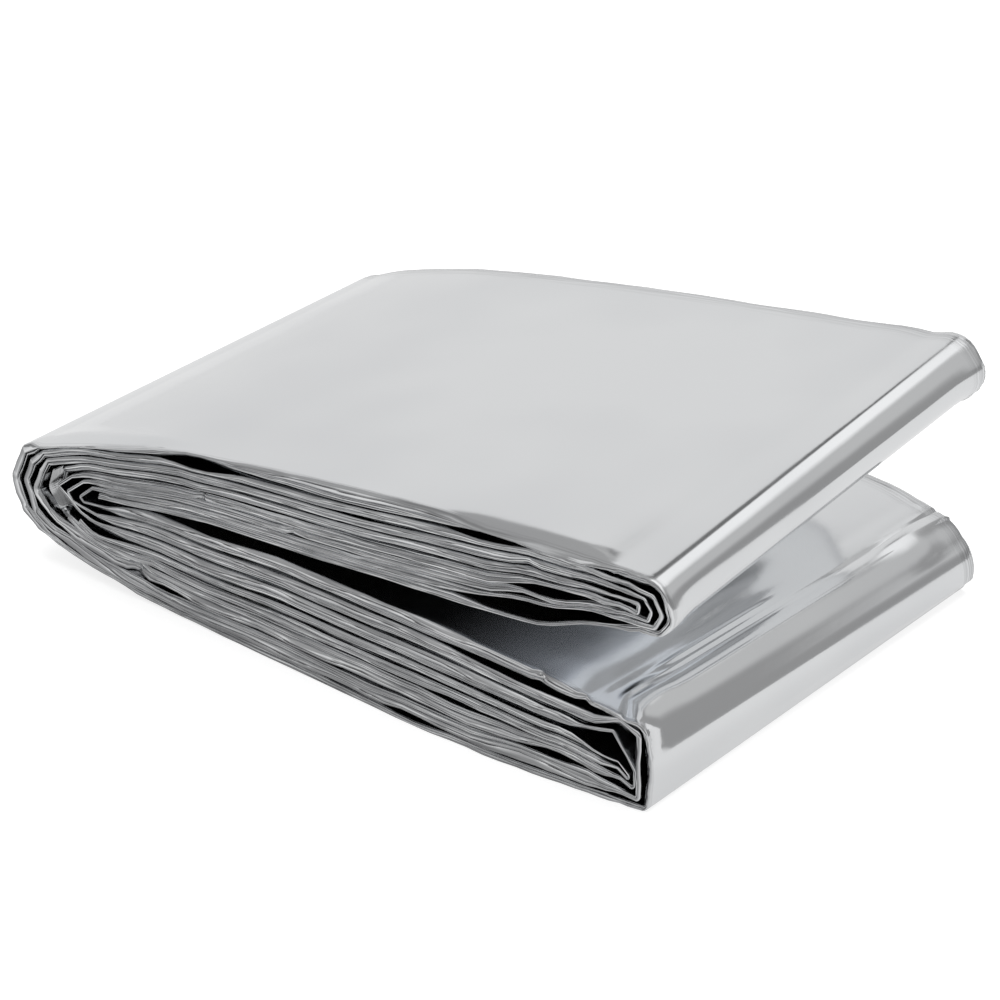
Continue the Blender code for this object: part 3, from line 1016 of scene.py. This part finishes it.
@dataclass
class FoldedFilm:
    """The whole sheet of film, folded as the blanket is stored."""

    name: str = "blanket_film"
    flat: tuple[float, float] = (1.4, 2.1)
    lift: float = 0.03          # keeps the lowest leaf off the floor
    winding: FlatWinding = field(default_factory=FlatWinding)
    pleats: Pleats = field(default_factory=Pleats)
    finish: FilmFinish = field(default_factory=FilmFinish)
    place: tuple[float, float] = (-66.286, -42.891)     # of the section's origin
    rise_scale: float = 1.5     # how much a rise between leaves takes of the flat sheet
    opens_early: float = 0.85   # a turn's opening, where the leaves' edge region ends
    bulk: Waver = Waver(11, 0.30, 55.0, 4, 0.7)     # of the outer nest
    stray: Waver = Waver(20, 0.16, 70.0, 5)         # of each nest's edge
    nibble: Waver = Waver(40, 0.12, 11.0, 4, 0.8)   # the same in small waves
    tilt: Waver = Waver(80, 0.8, 34.0, 5, 0.85)     # of each nest's face, as a slope
    tilt_mean: float = 0.55
    far_edge: Waver = Waver(60, 0.5, 60.0, 5)
    calm: float = 0.5           # the small waves' share along the sides
    ragged: float = 1.6         # and what they gain at the open end
    ragged_nose: float = 0.7    # the nose's share of that gain
    open_end: tuple[float, float] = (110.0, 18.0)   # where it sets in, and how fast
    nose_end: tuple[float, float] = (16.0, 12.0)
    edge_shade_depth: float = 0.4      # how far into a leaf's edge it is fully darkened with painted shade
    crease_power: float = 1.15  # 1 for straight walls, more for hollow ones
    crease_fade: float = 0.25   # of a crease's length, at each of its ends
    crumple_seed: int = 300
    crumple_waves: int = 5
    crumple_lengths: tuple[float, float] = (0.7, 1.5)   # of its wavelength
    cleft_layers: tuple[int, int] = (8, 9)  # the ones that face each other in it
    cleft_glow_start: float = 78.0   # where the painted glow in the cleft begins
    cleft_glow_reach: float = 42.0
    # How far the near edge stands back.
    tucks: tuple[Stretch, ...] = tuple(Stretch(*row) for row in (
        ((4, 13), 5.0, 40.0, 4.0), ((16, 9), 8.0, 12.0, 0.7), ((16,), 60.0, 90.0, 0.35),
        ((1,), 42.0, 9.0, 0.5), ((14, 11), 6.0, 9.0, 0.3), ((9,), 111.0, 1.8, 0.6),
        ((9,), 119.0, 1.6, 0.6), ((5,), 43.0, 1.5, 0.6), ((6,), 62.0, 1.5, 0.7),
        ((14,), 27.0, 3.0, 1.4), ((13,), 32.0, 2.5, 0.8), ((3,), 108.0, 2.5, 0.7),
        ((8, 1), 4.5, 4.0, 0.6),
    ))
    # How much more of the strip the outer nest of leaves takes, or less.
    packets: tuple[Stretch, ...] = tuple(Stretch(*row) for row in (
        ((1,), 25.0, 60.0, -0.3), ((15,), 15.0, 14.0, 1.0), ((14,), 17.0, 12.0, 0.9),
        ((15,), 112.0, 18.0, 0.7), ((9,), 106.0, 24.0, 0.5), ((1,), 116.0, 18.0, 0.9),
        ((1, 16), 8.0, 20.0, 0.9), ((2, 15), 8.0, 20.0, 0.8), ((3, 14), 8.0, 20.0, 0.8),
        ((15, 10), 6.0, 16.0, 0.9), ((7, 2), 4.0, 8.0, 0.7),
    ))
    creases: tuple[Crease, ...] = tuple(Crease(*row) for row in (
        ((1,), 2.0, 0.2, 36.0, 0.2, 3.2, -0.9), ((1,), 3.0, 3.6, 38.0, 2.6, 2.6, 0.5),
        ((1,), 92.0, 0.0, 125.0, 0.0, 2.2, -1.1),
        ((1,), 30.0, 1.5, 38.0, 0.5, 1.6, -0.6),
        ((16, 9), 21.2, 12.0, 21.0, 45.0, 1.2, 0.40),
        ((16, 9), 17.6, -60.0, 17.2, 150.0, 0.9, -0.42),
        ((9,), 119.0, 24.0, 112.0, 45.0, 3.0, 0.25),
    ))
    crumples: tuple[Crumple, ...] = tuple(Crumple(*row) for row in (
        ((9,), 114.0, 9.0, 12.0, 9.0, 0.16, 6.0),
        ((16, 9), 17.2, 8.0, 4.5, 8.0, 0.40, 3.0),
        ((16, 9), 15.0, 78.0, 6.0, 11.0, 0.45, 5.5),
        ((8, 1), 6.0, 2.0, 6.0, 4.0, 0.35, 2.0),
        ((8, 1), 5.0, 86.0, 6.0, 5.0, 0.40, 2.5),
    ))

    def __post_init__(self) -> None:
        """Works out the winding's stations and the strip's profile."""
        self.stations = self.winding.stations()
        self.profile = self.pleats.profile()

    def guide(self, name: str, points: np.ndarray,
              fields: dict[str, np.ndarray]) -> bpy.types.Object:
        """Makes a line of points that the fold tree reads.

        Args:
            name: The guide's name.
            points: Its points, in metres.
            fields: Vectors to keep with the points, by name.

        Returns:
            The guide's object.
        """
        mesh = bpy.data.meshes.new(name)
        edges = [(k, k + 1) for k in range(len(points) - 1)]
        mesh.from_pydata(points.tolist(), edges, [])
        keep_at_points(mesh, "FLOAT_VECTOR", fields)
        return put_in_scene(name, mesh)

    def flat_sheet(self) -> bpy.types.Object:
        """Makes the sheet as it was cut, with a row of points for every station.

        Returns:
            The flat sheet's object.
        """
        along = self.stations.along / self.stations.along[-1]
        rises = self.profile[:, 1:3] * [1.0, self.rise_scale]
        across = np.concatenate([[0.0], np.cumsum(np.hypot(*np.diff(rises, axis=0).T))])
        across /= across[-1]
        rows, columns = len(along), len(across)
        chart = np.column_stack([part.ravel() for part in np.meshgrid(across, along)])
        points = np.column_stack([chart * self.flat, np.zeros(len(chart))])
        numbers = np.arange(rows * columns)
        first = numbers.reshape(rows, columns)[:-1, :-1].ravel()
        faces = first[:, None] + [0, columns, columns + 1, 1]
        mesh = bpy.data.meshes.new(self.name)
        mesh.from_pydata(points.tolist(), [], faces.tolist())
        keep_at_points(mesh, "INT", {"station": numbers // columns,
                                     "pleat": numbers % columns})
        loops = np.empty(len(mesh.loops), np.int32)
        mesh.loops.foreach_get("vertex_index", loops)
        layer = mesh.uv_layers.new(name="sheet")
        layer.data.foreach_set("uv", chart[loops].astype(np.float32).ravel())
        return put_in_scene(self.name, mesh)

    def fold_tree(self) -> bpy.types.NodeTree:
        """Makes the node tree that folds the flat sheet along the winding.

        Returns:
            A geometry node group with the sheet, both guides, the strip's
            width and the film's material as named inputs.
        """
        tree = node_group("fold_the_sheet", "GeometryNodeTree", {
            "Sheet": "Geometry", "Winding": "Object", "Pleats": "Object",
            "Strip width": "Float", "Film": "Material"}, {"Folded": "Geometry"})
        make = TreeMaker(tree)
        given = make.add("NodeGroupInput").outputs

        def named(label: str, kind: str) -> bpy.types.NodeSocket:
            """A point's own value."""
            return make.add("GeometryNodeInputNamedAttribute", {"Name": label},
                            data_type=kind).outputs["Attribute"]

        def read(guide: str, number: bpy.types.NodeSocket,
                 label: str = "") -> bpy.types.NodeSocket:
            """Reads a guide at one of its points.

            Args:
                guide: Which guide.
                number: Which point of it.
                label: The vector kept there, or nothing for the point itself.

            Returns:
                The vector.
            """
            source = make.add("GeometryNodeObjectInfo", {"Object": given[guide]})
            value = (named(label, "FLOAT_VECTOR") if label
                     else make.add("GeometryNodeInputPosition").outputs["Position"])
            return make.add("GeometryNodeSampleIndex", {
                "Geometry": source.outputs["Geometry"], "Value": value,
                "Index": number}, data_type="FLOAT_VECTOR",
                domain="POINT").outputs["Value"]

        station, pleat = named("station", "INT"), named("pleat", "INT")
        half = make.parts(read("Winding", station, "half"))["X"]
        spot = make.parts(read("Pleats", pleat))
        thick = make.math("MULTIPLY", half, 2.0)
        level = make.math("MULTIPLY_ADD", spot["Z"], thick,
                          make.math("MULTIPLY", half, -1.0))
        depth = make.math("MULTIPLY_ADD", spot["X"], thick, spot["Y"])
        share = make.math("DIVIDE", depth, given["Strip width"])
        knot = self.pleats.shoulder / self.pleats.width
        slow = (1.0 - self.opens_early) / (1.0 - knot)
        opened = make.math("MINIMUM",
                           make.math("MULTIPLY", share, self.opens_early / knot),
                           make.math("MULTIPLY_ADD", share, slow, 1.0 - slow))
        point = read("Winding", station)
        for label, size in (("outward", level), ("lean", share), ("opening", opened)):
            move = make.vector("SCALE", read("Winding", station, label), size)
            point = make.vector("ADD", point, move)
        across = make.add("ShaderNodeCombineXYZ", {"Y": depth}).outputs["Vector"]
        shape = given["Sheet"]
        for kind, inputs in (
                ("SetPosition", {"Position": make.vector("ADD", point, across)}),
                ("SetShadeSmooth", {"Shade Smooth": True}),
                ("RealizeInstances", {}),
                ("SetMaterial", {"Material": given["Film"]})):
            node = make.add(f"GeometryNode{kind}", {"Geometry": shape, **inputs})
            shape = node.outputs["Geometry"]
        make.add("NodeGroupOutput", {"Folded": shape})
        return tree

    def fold(self, sheet: bpy.types.Object, material: bpy.types.Material) -> None:
        """Folds the flat sheet and keeps the result as its plain mesh.

        Args:
            sheet: The flat sheet's object.
            material: The film's material.
        """
        line = self.stations
        winding = self.guide("winding_guide", in_section(*line.points.T) * MM, {
            "outward": in_section(*line.outward.T),
            "half": in_section(line.half, np.zeros(len(line.half))) * MM,
            "lean": in_section(line.lean[:, 0], line.lean[:, 2]) * MM,
            "opening": in_section(*line.opening.T) * MM})
        pleats = self.guide("pleat_guide", self.profile[:, :3] * [1.0, MM, 1.0], {})
        tree = self.fold_tree()
        modifier = sheet.modifiers.new("Fold the sheet", "NODES")
        modifier.node_group = tree
        values = {"Winding": winding, "Pleats": pleats, "Film": material,
                  "Strip width": self.pleats.width * MM}
        for item in tree.interface.items_tree:
            if item.item_type == "SOCKET" and item.name in values:
                modifier[item.identifier] = values[item.name]
        bpy.context.view_layer.update()
        graph = bpy.context.evaluated_depsgraph_get()
        folded = bpy.data.meshes.new_from_object(
            sheet.evaluated_get(graph), preserve_all_data_layers=True, depsgraph=graph)
        sheet.modifiers.clear()
        flat, sheet.data = sheet.data, folded
        folded.name = self.name
        bpy.data.meshes.remove(flat)
        for guide in (winding, pleats):
            bpy.data.objects.remove(guide)

    def spread_along(self, rows: tuple[Stretch, ...]) -> np.ndarray:
        """Spreads a table's amounts along all stations.

        Args:
            rows: The table.

        Returns:
            The sum of the amounts, for each station.
        """
        total = np.zeros(len(self.stations.along))
        for row in rows:
            here, along = self.stations.measure(row.place)
            share = smooth(1.0 - np.abs(along - row.middle) / row.reach)
            total[here] += row.amount * share
        return total

    def push_out(self, points: np.ndarray, amount: np.ndarray) -> None:
        """Moves points away from the winding's middle by the given amounts."""
        for axis, way in zip((0, 2), self.stations.outward.T):
            points[:, :, axis] += amount * way[:, None]

    def press_edges(self, points: np.ndarray) -> None:
        """Makes the near edges of the leaves as uneven as a hand fold leaves them.

        The outer nest takes more or less of the strip's thickness.  Then each
        nest stands back by its own amount, and leans on its own.

        Args:
            points: The film's points by station and pleat, in millimetres.
        """
        line, along = self.stations, self.stations.along
        thick = 2.0 * line.half[:, None]
        level = self.profile[None, :, 2]
        near = 1.0 - smooth(points[:, :, 1] / self.pleats.shoulder)
        power = np.exp(self.bulk.at(along) + self.spread_along(self.packets))[:, None]
        shift = (np.clip(level, 0.0, 1.0) ** power - level) * thick * near
        self.push_out(points, shift)

        x = line.points[:, 0]
        opens = smooth((x - self.open_end[0]) / self.open_end[1])
        nose = smooth((self.nose_end[0] - x) / self.nose_end[1])
        waves = self.calm + self.ragged * np.maximum(opens, self.ragged_nose * nose)
        tuck = self.spread_along(self.tucks)
        for fold in self.pleats.near_folds:
            mine = near * (self.profile[None, :, 3] == fold.least)
            back = (self.stray.at(along, fold.least)
                    + self.nibble.at(along, fold.least) * waves + tuck)
            lean = self.tilt_mean + self.tilt.at(along, fold.least)
            lean *= line.outward[:, 1]
            tilt = (level - 0.5 * (fold.low + fold.high)) * thick * lean[:, None]
            points[:, :, 1] += mine * (back[:, None] + tilt)

    def dents(self, points: np.ndarray) -> tuple[np.ndarray, np.ndarray]:
        """Works out how far the creases and the crumples push the outer leaf.

        Args:
            points: The film's points by station and pleat, in millimetres.

        Returns:
            The push of each point, and how crumpled the film is there.
        """
        push, crumpled = np.zeros(points.shape[:2]), np.zeros(points.shape[:2])
        level = np.clip(self.profile[None, :, 2], 0.0, 1.0)
        for crease in self.creases:
            here, along = self.stations.measure(crease.place)
            s, y = along[:, None] - crease.along_a, points[here, :, 1] - crease.y_a
            dx, dy = crease.along_b - crease.along_a, crease.y_b - crease.y_a
            length = hypot(dx, dy)
            dx, dy = dx / length, dy / length
            run = (s * dx + y * dy) / length
            off = np.abs(y * dx - s * dy)
            shape = np.maximum(0.0, 1.0 - off / crease.width) ** self.crease_power
            fade = smooth(run / self.crease_fade)
            fade *= smooth((1.0 - run) / self.crease_fade)
            push[here] += crease.height * shape * fade * level
        for k, patch in enumerate(self.crumples):
            here, along = self.stations.measure(patch.place)
            s, y = along[:, None], points[here, :, 1]
            weight = smooth(1.0 - np.hypot((s - patch.along) / patch.reach_along,
                                           (y - patch.y) / patch.reach_across))
            draw = np.random.default_rng(self.crumple_seed + k)
            relief = np.zeros_like(weight)
            for _ in range(self.crumple_waves):
                angle, phase = draw.uniform(0, pi), draw.uniform(0, 2 * pi)
                wave = patch.wavelength * draw.uniform(*self.crumple_lengths)
                run = s * cos(angle) + y * sin(angle)
                relief += np.abs(np.sin(pi * run / wave + phase))
            relief /= 0.5 * self.crumple_waves
            push[here] += patch.height * weight * relief * (level >= SKIN)
            crumpled[here] = np.maximum(crumpled[here], weight)
        return push, crumpled

    def press(self, sheet: bpy.types.Object) -> None:
        """Presses the unevenness of a real pack into the folded sheet.

        Args:
            sheet: The folded sheet's object.
        """
        line, pleats = self.stations, self.pleats
        mesh = sheet.data
        flat = np.empty(len(mesh.vertices) * 3, np.float32)
        mesh.vertices.foreach_get("co", flat)
        points = flat.reshape(len(line.along), len(self.profile), 3).astype(float) / MM
        y = points[:, :, 1].copy()
        push, crumpled = self.dents(points)
        self.press_edges(points)
        far = smooth((y - pleats.width + pleats.shoulder) / pleats.shoulder)
        points[:, :, 1] += far * self.far_edge.at(line.along)[:, None]
        points[:, :, 1] -= (1.0 - y / pleats.width) * line.lean[:, 1][:, None]
        self.push_out(points, push)
        points += (*self.place, 0.0)
        points[:, :, 2] = np.maximum(points[:, :, 2], self.lift)
        mesh.vertices.foreach_set("co", (points * MM).astype(np.float32).ravel())

        # This mask carries the streaked relief and the painted shade of the folded
        # edges, near side and far.
        edge = 1.0 - smooth((y - self.edge_shade_depth) / (pleats.guard - self.edge_shade_depth))
        # Where the film in the cleft glows with painted light, rising towards the open
        # end.
        cleft_glow = smooth((line.points[:, 0] - self.cleft_glow_start) / self.cleft_glow_reach)
        cleft_glow *= [not set(place).isdisjoint(self.cleft_layers) for place in line.places]
        skin = self.profile[None, :, 2] >= SKIN
        keep_at_points(mesh, "FLOAT", {
            "crumple": crumpled, "edge": np.maximum(edge, far),
            "cleft_glow": skin * cleft_glow[:, None]})
        for label in ("station", "pleat"):
            mesh.attributes.remove(mesh.attributes[label])
        mesh.update()

    def build(self) -> bpy.types.Object:
        """Cuts, folds, presses and dresses the sheet.

        Returns:
            The finished piece.
        """
        sheet = self.flat_sheet()
        self.fold(sheet, self.finish.material(self.flat))
        self.press(sheet)
        return sheet


class Card(NamedTuple):
    """A soft-edged panel of the studio's surroundings, in degrees."""

    azimuth: float
    half_width: float
    elevation: float
    half_height: float
    soft: float
    brightness: float


@dataclass
class Studio:
    """The plain pale floor, the soft light and the camera."""

    floor_half: float = 4.0
    floor_tone: tuple[float, float] = (0.15, 0.40)  # mirrored by the film, and seen
    floor_glow: tuple[float, float] = (0.65, 0.75)
    floor_roughness: float = 0.9
    shadow: float = 0.65        # how far the mirrored floor darkens beside the blanket
    shadow_middle: float = -0.045   # its place across, beside the near side
    shadow_reach: float = 0.035
    shadow_ends: tuple[float, float] = (0.052, 0.064)   # along, where it fades out
    camera_place: tuple[float, float, float] = (0.293811, -0.361970, 0.250989)
    camera_elevation: float = 27.0
    camera_azimuth: float = 38.813
    lens: float = 115.2
    sensor: float = 36.0
    lamp_place: tuple[float, float, float] = (-0.2, 0.3, 1.6)
    lamp_size: float = 1.6
    lamp_watts: float = 22.0
    backdrop: float = 1.1       # what the camera sees past the floor
    base: float = 0.35          # the light from all round
    overhead: float = 1.05      # and from straight above
    overhead_span: tuple[float, float] = (30.0, 75.0)   # where it grows, in degrees
    cards: tuple[Card, ...] = tuple(Card(*row) for row in (
        (-48.0, 40.0, 15.5, 22.5, 3.0, 0.80), (5.0, 25.0, 52.0, 12.5, 4.0, 1.05),
        (35.0, 24.0, 28.0, 14.0, 12.0, 0.58), (48.0, 40.0, 3.0, 12.0, 18.0, 0.34),
        (-31.0, 9.0, 42.0, 4.0, 2.0, 0.15), (-84.0, 36.0, 51.0, 17.0, 6.0, 0.40),
        (-150.0, 24.0, 5.0, 5.0, 4.0, 0.10), (-150.0, 24.0, 24.0, 4.0, 4.0, 0.75),
    ))

    def floor(self) -> bpy.types.Object:
        """Makes the floor, far wider than any view of the blanket.

        Returns:
            The floor's object.
        """
        half = self.floor_half
        mesh = bpy.data.meshes.new("studio_floor")
        mesh.from_pydata([(-half, -half, 0.0), (half, -half, 0.0), (half, half, 0.0),
                          (-half, half, 0.0)], [], [(0, 1, 2, 3)])
        material = bpy.data.materials.new("pale_floor")
        material.use_nodes = True
        make = TreeMaker(material.node_tree)
        seen = make.add("ShaderNodeLightPath").outputs["Is Camera Ray"]
        tone, glow = (make.mix(seen, (mirrored,) * 3, (direct,) * 3)
                      for mirrored, direct in (self.floor_tone, self.floor_glow))
        place = make.parts(make.add("ShaderNodeTexCoord").outputs["Object"])
        away = make.math("SUBTRACT", place["Y"], self.shadow_middle)
        away = make.math("ABSOLUTE", away)
        beside = make.ramp(away, (0.0, self.shadow_reach), (1.0, 0.0), "SMOOTHSTEP")
        inside = make.ramp(place["X"], self.shadow_ends, (self.shadow, 0.0))
        shaded = make.math("MULTIPLY", make.math("MULTIPLY", beside, inside),
                           make.math("SUBTRACT", 1.0, seen))
        make.feed(material.node_tree.nodes["Principled BSDF"], {
            "Base Color": tone, "Roughness": self.floor_roughness,
            "Specular IOR Level": 0.0, "Emission Color": glow,
            "Emission Strength": make.math("SUBTRACT", 1.0, shaded)})
        mesh.materials.append(material)
        return put_in_scene("studio_floor", mesh)

    def surroundings(self) -> None:
        """Lights all round with a soft gradient and the cards that the film mirrors."""
        world = bpy.data.worlds.new("studio")
        world.use_nodes = True
        bpy.context.scene.world = world
        make = TreeMaker(world.node_tree)
        way = make.parts(make.add("ShaderNodeTexCoord").outputs["Generated"])
        azimuth, elevation = (make.math("MULTIPLY", angle, 180.0 / pi) for angle in (
            make.math("ARCTAN2", way["X"], way["Y"]), make.math("ARCSINE", way["Z"])))
        light = make.ramp(elevation, self.overhead_span, (self.base, self.overhead),
                          "SMOOTHSTEP")
        for card in self.cards:
            masks = []
            for angle, middle, half in ((azimuth, card.azimuth, card.half_width),
                                        (elevation, card.elevation, card.half_height)):
                away = make.math("ABSOLUTE", make.math("SUBTRACT", angle, middle))
                rim = (half - 0.5 * card.soft, half + 0.5 * card.soft)
                masks.append(make.ramp(away, rim, (1.0, 0.0), "SMOOTHSTEP"))
            light = make.mix(make.math("MULTIPLY", *masks), light, card.brightness)
        seen = make.add("ShaderNodeLightPath").outputs["Is Camera Ray"]
        make.feed(world.node_tree.nodes["Background"], {
            "Color": (1.0, 1.0, 1.0, 1.0),
            "Strength": make.mix(seen, light, self.backdrop)})

    def lamp(self) -> None:
        """Hangs one square soft lamp overhead, turned towards the blanket."""
        data = bpy.data.lights.new("overhead", "AREA")
        data.shape = "SQUARE"
        data.size = self.lamp_size
        data.energy = self.lamp_watts
        lamp = put_in_scene("overhead", data)
        lamp.location = self.lamp_place
        lamp.rotation_euler = (-lamp.location).to_track_quat("-Z", "Y").to_euler()
        lamp.visible_glossy = False

    def camera(self) -> None:
        """Sets up the camera, level and without shift."""
        data = bpy.data.cameras.new("camera")
        data.lens = self.lens
        data.sensor_width = self.sensor
        camera = put_in_scene("camera", data)
        camera.location = self.camera_place
        camera.rotation_euler = (radians(90.0 - self.camera_elevation), 0.0,
                                 radians(self.camera_azimuth))
        bpy.context.scene.camera = camera

    def build(self) -> bpy.types.Object:
        """Sets up the whole studio.

        Returns:
            The floor, which the blanket rests on.
        """
        self.surroundings()
        self.lamp()
        self.camera()
        bpy.context.scene.view_settings.view_transform = "Standard"
        return self.floor()


def main() -> None:
    """Builds the studio and the film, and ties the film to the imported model."""
    logging.basicConfig(level=logging.INFO, format="%(name)s: %(message)s")
    floor = Studio().build()
    log.info("studio with floor %s", floor.name)

    film = FoldedFilm()
    sheet = film.build()
    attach(sheet, "root")
    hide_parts("foil_blanket")
    log.info("film %s with %d faces, strip %.2f m long", sheet.name,
             len(sheet.data.polygons), film.stations.along[-1] * MM)


if __name__ == "__main__":
    main()
